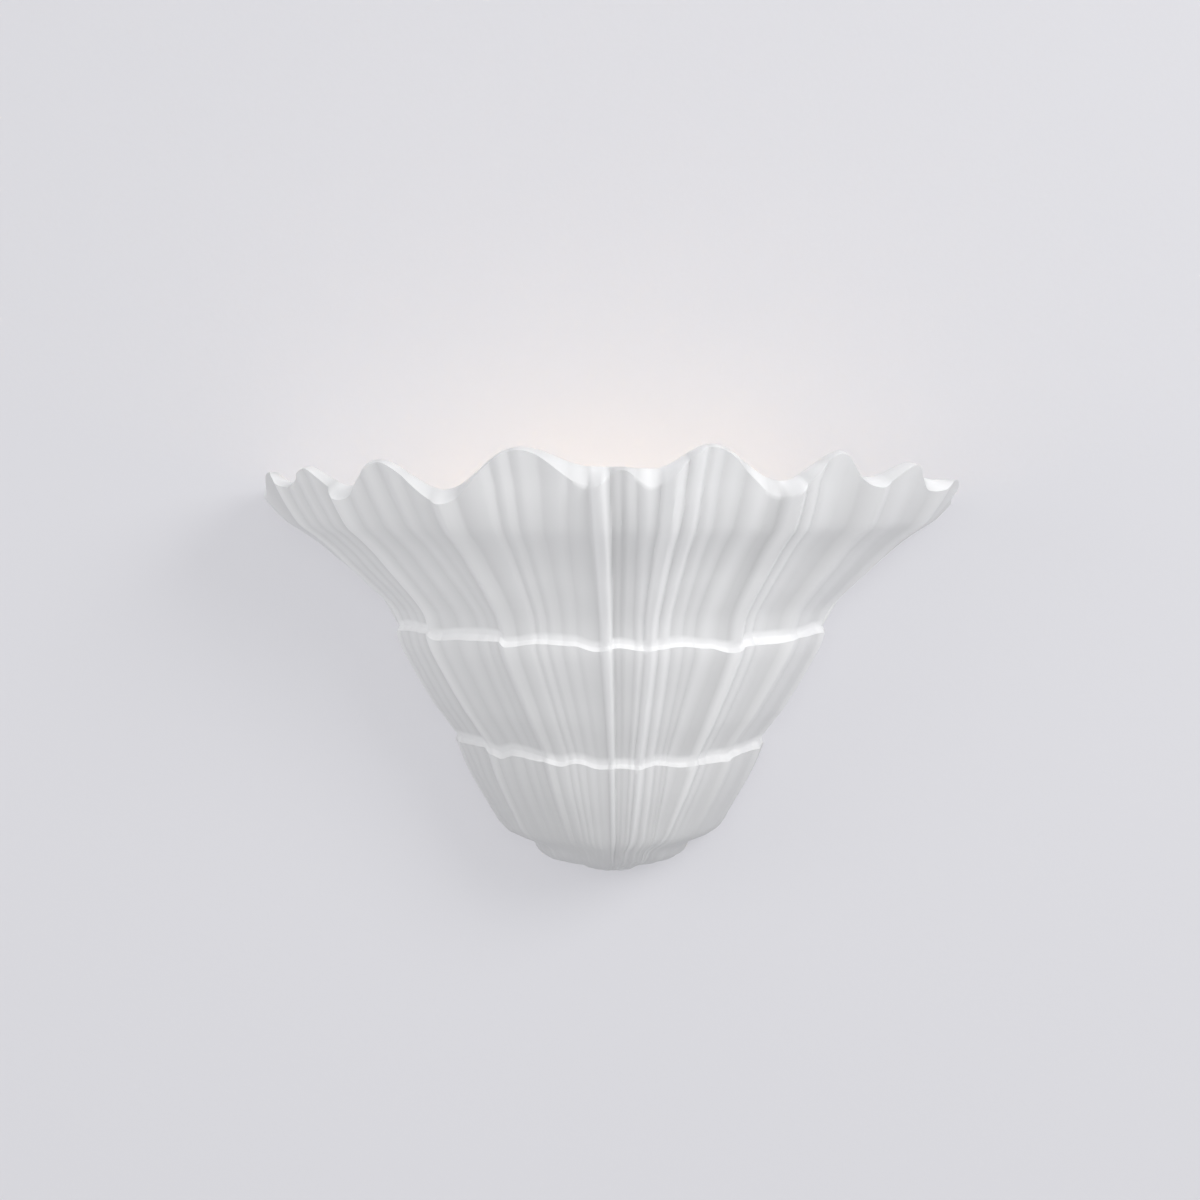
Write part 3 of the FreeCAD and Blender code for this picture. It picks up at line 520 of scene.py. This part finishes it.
def ceramic_material(colour):
    """Matt white casting, with light and shade painted into its colour: a painted highlight keeps the
    crests and ledge lips whiter, and painted shade makes the grooves and the foot a little greyer.
    """
    material, nodes, links, shader = new_material("white_ceramic")
    crest_colour = tuple(colour) + (1,)
    # painted shade colour for the grooves
    groove = tuple(c * GROOVE_SHADE_SHARE for c in colour) + (1,)
    coords = object_coords(nodes)
    split = nodes.new("ShaderNodeSeparateXYZ")
    links.new(coords, split.inputs["Vector"])
    # painted shade: the colour greys towards the foot
    height = nodes.new("ShaderNodeMapRange")
    height.inputs["From Min"].default_value = FOOT_SHADE_Z
    height.inputs["From Max"].default_value = SHADE_FREE_Z
    height.inputs["To Min"].default_value = -0.8
    height.inputs["To Max"].default_value = 0.0
    links.new(split.outputs["Z"], height.inputs["Value"])
    shaded_crest = nodes.new("ShaderNodeMath")
    # the crest attribute: painted highlight on crests and ledge lips, painted shade in the grooves
    crest = nodes.new("ShaderNodeAttribute")
    crest.attribute_name = "crest"
    painted_light_level = nodes.new("ShaderNodeMath")
    painted_light_level.operation = "MULTIPLY_ADD"
    painted_light_level.inputs[1].default_value = 0.16
    links.new(noise(nodes, links, coords, 18, 4), painted_light_level.inputs[0])
    links.new(crest.outputs["Fac"], shaded_crest.inputs[0])
    links.new(height.outputs["Result"], shaded_crest.inputs[1])
    links.new(shaded_crest.outputs["Value"], painted_light_level.inputs[2])
    links.new(ramp(nodes, links, painted_light_level.outputs["Value"], ((0.0, groove), (1.0, crest_colour))),
              shader.inputs["Base Color"])
    links.new(ramp(nodes, links, noise(nodes, links, coords, 40), ((0.3, grey(0.42)), (0.7, grey(0.55)))),
              shader.inputs["Roughness"])
    add_bump(nodes, links, shader, noise(nodes, links, coords, 900, 3), 0.12, 0.0003)
    shader.inputs["Specular IOR Level"].default_value = 0.35
    return material


def plain_material(name, colour, roughness, metallic=0.0, grain=600):
    """Colour and roughness vary a little over the piece, with a fine surface grain."""
    material, nodes, links, shader = new_material(name)
    coords = object_coords(nodes)
    low = tuple(c * 0.92 for c in colour) + (1,)
    high = tuple(min(1, c * 1.08) for c in colour) + (1,)
    links.new(ramp(nodes, links, noise(nodes, links, coords, 60), ((0.3, low), (0.7, high))),
              shader.inputs["Base Color"])
    wear = ramp(nodes, links, noise(nodes, links, coords, 150),
                ((0.3, grey(roughness * 0.85)), (0.7, grey(min(1, roughness * 1.15)))))
    links.new(wear, shader.inputs["Roughness"])
    add_bump(nodes, links, shader, noise(nodes, links, coords, grain), 0.1, 0.0002)
    shader.inputs["Metallic"].default_value = metallic
    return material


# colour, roughness and metallic of the fittings, by the record's material slot
FINISHES = {
    "zinc_steel": ((0.62, 0.63, 0.65), 0.38, 1.0),
    "brass": ((0.78, 0.60, 0.30), 0.32, 1.0),
    "screw_steel": ((0.58, 0.59, 0.60), 0.30, 1.0),
    "pad_rubber": ((0.62, 0.62, 0.60), 0.85, 0.0),
    "plate_paint": ((0.80, 0.80, 0.79), 0.45, 0.0),
    "grommet_rubber": ((0.03, 0.03, 0.03), 0.75, 0.0),
    "block_plastic": ((0.78, 0.75, 0.66), 0.5, 0.0),
    "holder_ceramic": ((0.84, 0.83, 0.79), 0.55, 0.0),
    "lamp_base": ((0.86, 0.85, 0.82), 0.4, 0.0),
    "pin_metal": ((0.70, 0.70, 0.72), 0.2, 1.0),
    "wire_brown": ((0.16, 0.07, 0.03), 0.45, 0.0),
    "wire_blue": ((0.03, 0.10, 0.40), 0.45, 0.0),
    "wire_green": ((0.08, 0.30, 0.05), 0.45, 0.0),
}


def give_finish(node, material):
    """A CAD node keeps its mesh and takes the material in its slots."""
    if not node.material_slots:
        node.data.materials.append(material)
    for slot in node.material_slots:
        slot.material = material


def paint_cad_nodes():
    """Every kept CAD node takes the procedural finish of its record slot."""
    made = {name: plain_material(name, *values) for name, values in FINISHES.items()}
    for part in frame["record"]["subparts"]:
        node = frame["nodes"][part["node"]]
        if part["material_slot"] in made:
            give_finish(node, made[part["material_slot"]])


def lamp_materials(glow):
    """Glowing frosted glass, the stick inside it and the chips on the stick."""
    glass, nodes, links, shader = new_material("frosted_glass")
    coords = object_coords(nodes)
    links.new(ramp(nodes, links, noise(nodes, links, coords, 300), ((0.3, grey(0.35)), (0.7, grey(0.5)))),
              shader.inputs["Roughness"])
    shader.inputs["Base Color"].default_value = (1.0, 0.96, 0.90, 1)
    shader.inputs["Transmission Weight"].default_value = 0.6
    shader.inputs["Emission Color"].default_value = (1.0, 0.80, 0.58, 1)
    shader.inputs["Emission Strength"].default_value = glow
    core = plain_material("lamp_core", (0.86, 0.85, 0.80), 0.5)
    chip = plain_material("light_chip", (0.95, 0.72, 0.22), 0.45, grain=2500)
    return glass, core, chip


# ---------------------------------------------------------------- stage
def wall_material(settings):
    """Matt paint; the camera sees a share of it at its plain colour, which keeps the shadows soft."""
    material, nodes, links, shader = new_material("wall_paint")
    coords = object_coords(nodes)
    paint = ramp(nodes, links, noise(nodes, links, coords, 3, 2),
                 ((0.3, (0.765, 0.765, 0.79, 1)), (0.7, (0.775, 0.775, 0.80, 1))))
    links.new(paint, shader.inputs["Base Color"])
    shader.inputs["Roughness"].default_value = 0.9
    add_bump(nodes, links, shader, noise(nodes, links, coords, 350, 4, 0.6), 0.1, 0.0004)
    plain = nodes.new("ShaderNodeEmission")
    plain.inputs["Color"].default_value = settings.wall_colour[:] + (1,)
    path = nodes.new("ShaderNodeLightPath")
    share = nodes.new("ShaderNodeMath")
    share.operation = "MULTIPLY"
    share.inputs[1].default_value = settings.wall_plainness
    links.new(path.outputs["Is Camera Ray"], share.inputs[0])
    mix = nodes.new("ShaderNodeMixShader")
    links.new(share.outputs["Value"], mix.inputs["Fac"])
    links.new(shader.outputs["BSDF"], mix.inputs[1])
    links.new(plain.outputs["Emission"], mix.inputs[2])
    # clear from behind and to rays that start right at it, so the light's back can be seen and is lit
    near = nodes.new("ShaderNodeMath")
    near.operation = "LESS_THAN"
    near.inputs[1].default_value = CLEAR_REACH
    links.new(path.outputs["Ray Length"], near.inputs[0])
    clear = nodes.new("ShaderNodeMath")
    clear.operation = "MAXIMUM"
    links.new(nodes.new("ShaderNodeNewGeometry").outputs["Backfacing"], clear.inputs[0])
    links.new(near.outputs["Value"], clear.inputs[1])
    open_back = nodes.new("ShaderNodeMixShader")
    links.new(clear.outputs["Value"], open_back.inputs["Fac"])
    links.new(mix.outputs["Shader"], open_back.inputs[1])
    links.new(nodes.new("ShaderNodeBsdfTransparent").outputs["BSDF"], open_back.inputs[2])
    links.new(open_back.outputs["Shader"], nodes["Material Output"].inputs["Surface"])
    return material


def area_light(name, place, size, power):
    data = bpy.data.lights.new(name, "AREA")
    data.size = size
    data.energy = power
    obj = bpy.data.objects.new(name, data)
    obj.location = place
    obj.rotation_euler = (Vector(LIGHT_AIM) - Vector(place)).to_track_quat("-Z", "Y").to_euler()
    bpy.context.scene.collection.objects.link(obj)


def paint_sky(world, strength):
    """Even light, stronger from above than from below."""
    nodes, links = world.node_tree.nodes, world.node_tree.links
    split = nodes.new("ShaderNodeSeparateXYZ")
    links.new(nodes.new("ShaderNodeTexCoord").outputs["Generated"], split.inputs["Vector"])
    height = nodes.new("ShaderNodeMapRange")
    height.inputs["From Min"].default_value = -1.0
    height.inputs["To Min"].default_value = strength * 0.88
    height.inputs["To Max"].default_value = strength * 1.15
    links.new(split.outputs["Z"], height.inputs["Value"])
    nodes["Background"].inputs["Color"].default_value = (0.97, 0.975, 1.0, 1)
    links.new(height.outputs["Result"], nodes["Background"].inputs["Strength"])


def make_camera(distance, elevation):
    """Aimed at the wall point in the middle of the picture."""
    aim = Vector(VIEW_AIM)
    back = Vector((0, -math.cos(elevation), math.sin(elevation)))
    data = bpy.data.cameras.new("camera")
    data.sensor_width = 36.0
    data.lens = data.sensor_width * distance / VIEW_WIDTH
    data.clip_start, data.clip_end = 0.05, 20
    camera = bpy.data.objects.new("camera", data)
    camera.location = aim + back * distance
    camera.rotation_euler = (-back).to_track_quat("-Z", "Y").to_euler()
    bpy.context.scene.collection.objects.link(camera)
    bpy.context.scene.camera = camera


# ---------------------------------------------------------------- add-on
class SconceSettings(bpy.types.PropertyGroup):
    # the whitest colour, reached where the painted highlight lies on crests and ledge lips; the grooves and
    # the foot are painted greyer as shade
    shell_colour: bpy.props.FloatVectorProperty(
        name="Shell colour", description="Colour of the casting's crests", subtype="COLOR",
        default=(0.94, 0.94, 0.94), min=0, max=1)
    lamp_glow: bpy.props.FloatProperty(
        name="Lamp glow", description="Emission strength of the frosted lamp glass", default=4.4, min=0)
    key_power: bpy.props.FloatProperty(
        name="Key light", description="Power of the broad light beside the camera", default=4.9,
        min=0, subtype="POWER")
    upper_power: bpy.props.FloatProperty(
        name="Upper light", description="Power of the soft light from the upper right", default=12.5,
        min=0, subtype="POWER")
    fill_power: bpy.props.FloatProperty(
        name="Fill light", description="Power of the soft light from the left", default=3.5,
        min=0, subtype="POWER")
    sky: bpy.props.FloatProperty(
        name="Room light", description="Strength of the even light from all round", default=0.53, min=0)
    wall_colour: bpy.props.FloatVectorProperty(
        name="Wall colour", description="Plain colour of the wall", subtype="COLOR",
        default=(0.70, 0.695, 0.735), min=0, max=1)
    unevenness: bpy.props.FloatProperty(
        name="Unevenness", description="Height of the hand-finished waves in the casting", default=0.0003,
        min=0, unit="LENGTH")
    patch: bpy.props.FloatProperty(
        name="Patch size", description="Width of one wave in the casting", default=0.025,
        min=0.001, unit="LENGTH")
    chip_rings: bpy.props.IntProperty(
        name="Chip rings", description="Rings of light chips up each lamp", default=7, min=1)
    wall_plainness: bpy.props.FloatProperty(
        name="Wall plainness", description="Share of the wall colour that takes no shadow", default=0.5,
        min=0, max=1)
    camera_distance: bpy.props.FloatProperty(
        name="Camera distance", description="From the camera to the wall", default=1.4,
        min=0.3, unit="LENGTH")
    camera_elevation: bpy.props.FloatProperty(
        name="Camera elevation", description="How far the camera looks down", default=math.radians(4),
        unit="ROTATION")


class SCONCE_OT_shell(bpy.types.Operator):
    """Build the fluted shell"""
    bl_idname = "sconce.shell"
    bl_label = "Shell"

    def execute(self, context):
        settings = context.scene.sconce
        ceramic = ceramic_material(settings.shell_colour)
        shell = cast_surface_tree().made("shell_casting", casting_mesh(), Unevenness=settings.unevenness,
                                         Patch=settings.patch, Finish=ceramic)
        shade_smooth(shell)
        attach(shell, "shell_body")
        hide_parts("shell")
        lands = land_mesh()
        lands.data.materials.append(ceramic)
        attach(lands, "shell_body")
        return {"FINISHED"}


class SCONCE_OT_fittings(bpy.types.Operator):
    """Paint the CAD fittings"""
    bl_idname = "sconce.fittings"
    bl_label = "Fittings"

    def execute(self, context):
        paint_cad_nodes()
        return {"FINISHED"}


class SCONCE_OT_lamps(bpy.types.Operator):
    """Give the lamps their glass and light"""
    bl_idname = "sconce.lamps"
    bl_label = "Lamps"

    def execute(self, context):
        settings = context.scene.sconce
        glass, core, chip = lamp_materials(settings.lamp_glow)
        tree = chip_tree()
        for side in SIDES:
            give_finish(frame["nodes"]["lamp_glass_" + side], glass)
            give_finish(frame["nodes"]["lamp_core_" + side], core)
            low, high = (Vector(corner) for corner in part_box("lamp_core_" + side))
            pitch = (high.z - low.z - 2 * CHIP_MARGIN) / settings.chip_rings
            chips = tree.made("lamp_chips_" + side, mesh_object("seat", [(0, 0, 0)], []),
                              Rings=settings.chip_rings, Pitch=pitch, Finish=chip)
            middle = (low + high) / 2
            chips.data.transform(Matrix.Translation((middle.x, middle.y, low.z + CHIP_MARGIN + pitch / 2)))
            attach(chips, "lamp_" + side)
        return {"FINISHED"}


class SCONCE_OT_stage(bpy.types.Operator):
    """Build the wall, the lights and the camera"""
    bl_idname = "sconce.stage"
    bl_label = "Stage"

    def execute(self, context):
        settings = context.scene.sconce
        corners = ((-1, -1), (1, -1), (1, 1), (-1, 1))
        wall = mesh_object("wall", [(x * WALL_HALF, WALL_GAP, z * WALL_HALF) for x, z in corners],
                           [(0, 1, 2, 3)])
        wall.data.materials.append(wall_material(settings))
        world = bpy.data.worlds.new("room")
        world.use_nodes = True
        paint_sky(world, settings.sky)
        context.scene.world = world
        area_light("key", (-0.2, -1.9, 0.15), 1.1, settings.key_power)
        area_light("upper right", (1.1, -1.2, 0.8), 0.8, settings.upper_power)
        area_light("left fill", (-1.5, -1.0, 0.3), 0.9, settings.fill_power)
        make_camera(settings.camera_distance, settings.camera_elevation)
        context.scene.view_settings.view_transform = "Standard"
        return {"FINISHED"}


class SCONCE_PT_panel(bpy.types.Panel):
    """The settings, then the operators in the order that builds the light"""
    bl_label = "Shell wall sconce"
    bl_idname = "SCONCE_PT_panel"
    bl_space_type = "VIEW_3D"
    bl_region_type = "UI"
    bl_category = "Sconce"

    def draw(self, context):
        for name in SconceSettings.__annotations__:
            self.layout.prop(context.scene.sconce, name)
        for operator in OPERATORS:
            self.layout.operator(operator.bl_idname)


OPERATORS = (SCONCE_OT_fittings, SCONCE_OT_shell, SCONCE_OT_lamps, SCONCE_OT_stage)
CLASSES = (SconceSettings, *OPERATORS, SCONCE_PT_panel)


def register():
    for cls in CLASSES:
        bpy.utils.register_class(cls)
    bpy.types.Scene.sconce = bpy.props.PointerProperty(type=SconceSettings)


def unregister():
    del bpy.types.Scene.sconce
    for cls in reversed(CLASSES):
        bpy.utils.unregister_class(cls)


def main():
    register()
    bpy.ops.sconce.fittings()
    bpy.ops.sconce.shell()
    bpy.ops.sconce.lamps()
    bpy.ops.sconce.stage()


if __name__ == "__main__":
    main()
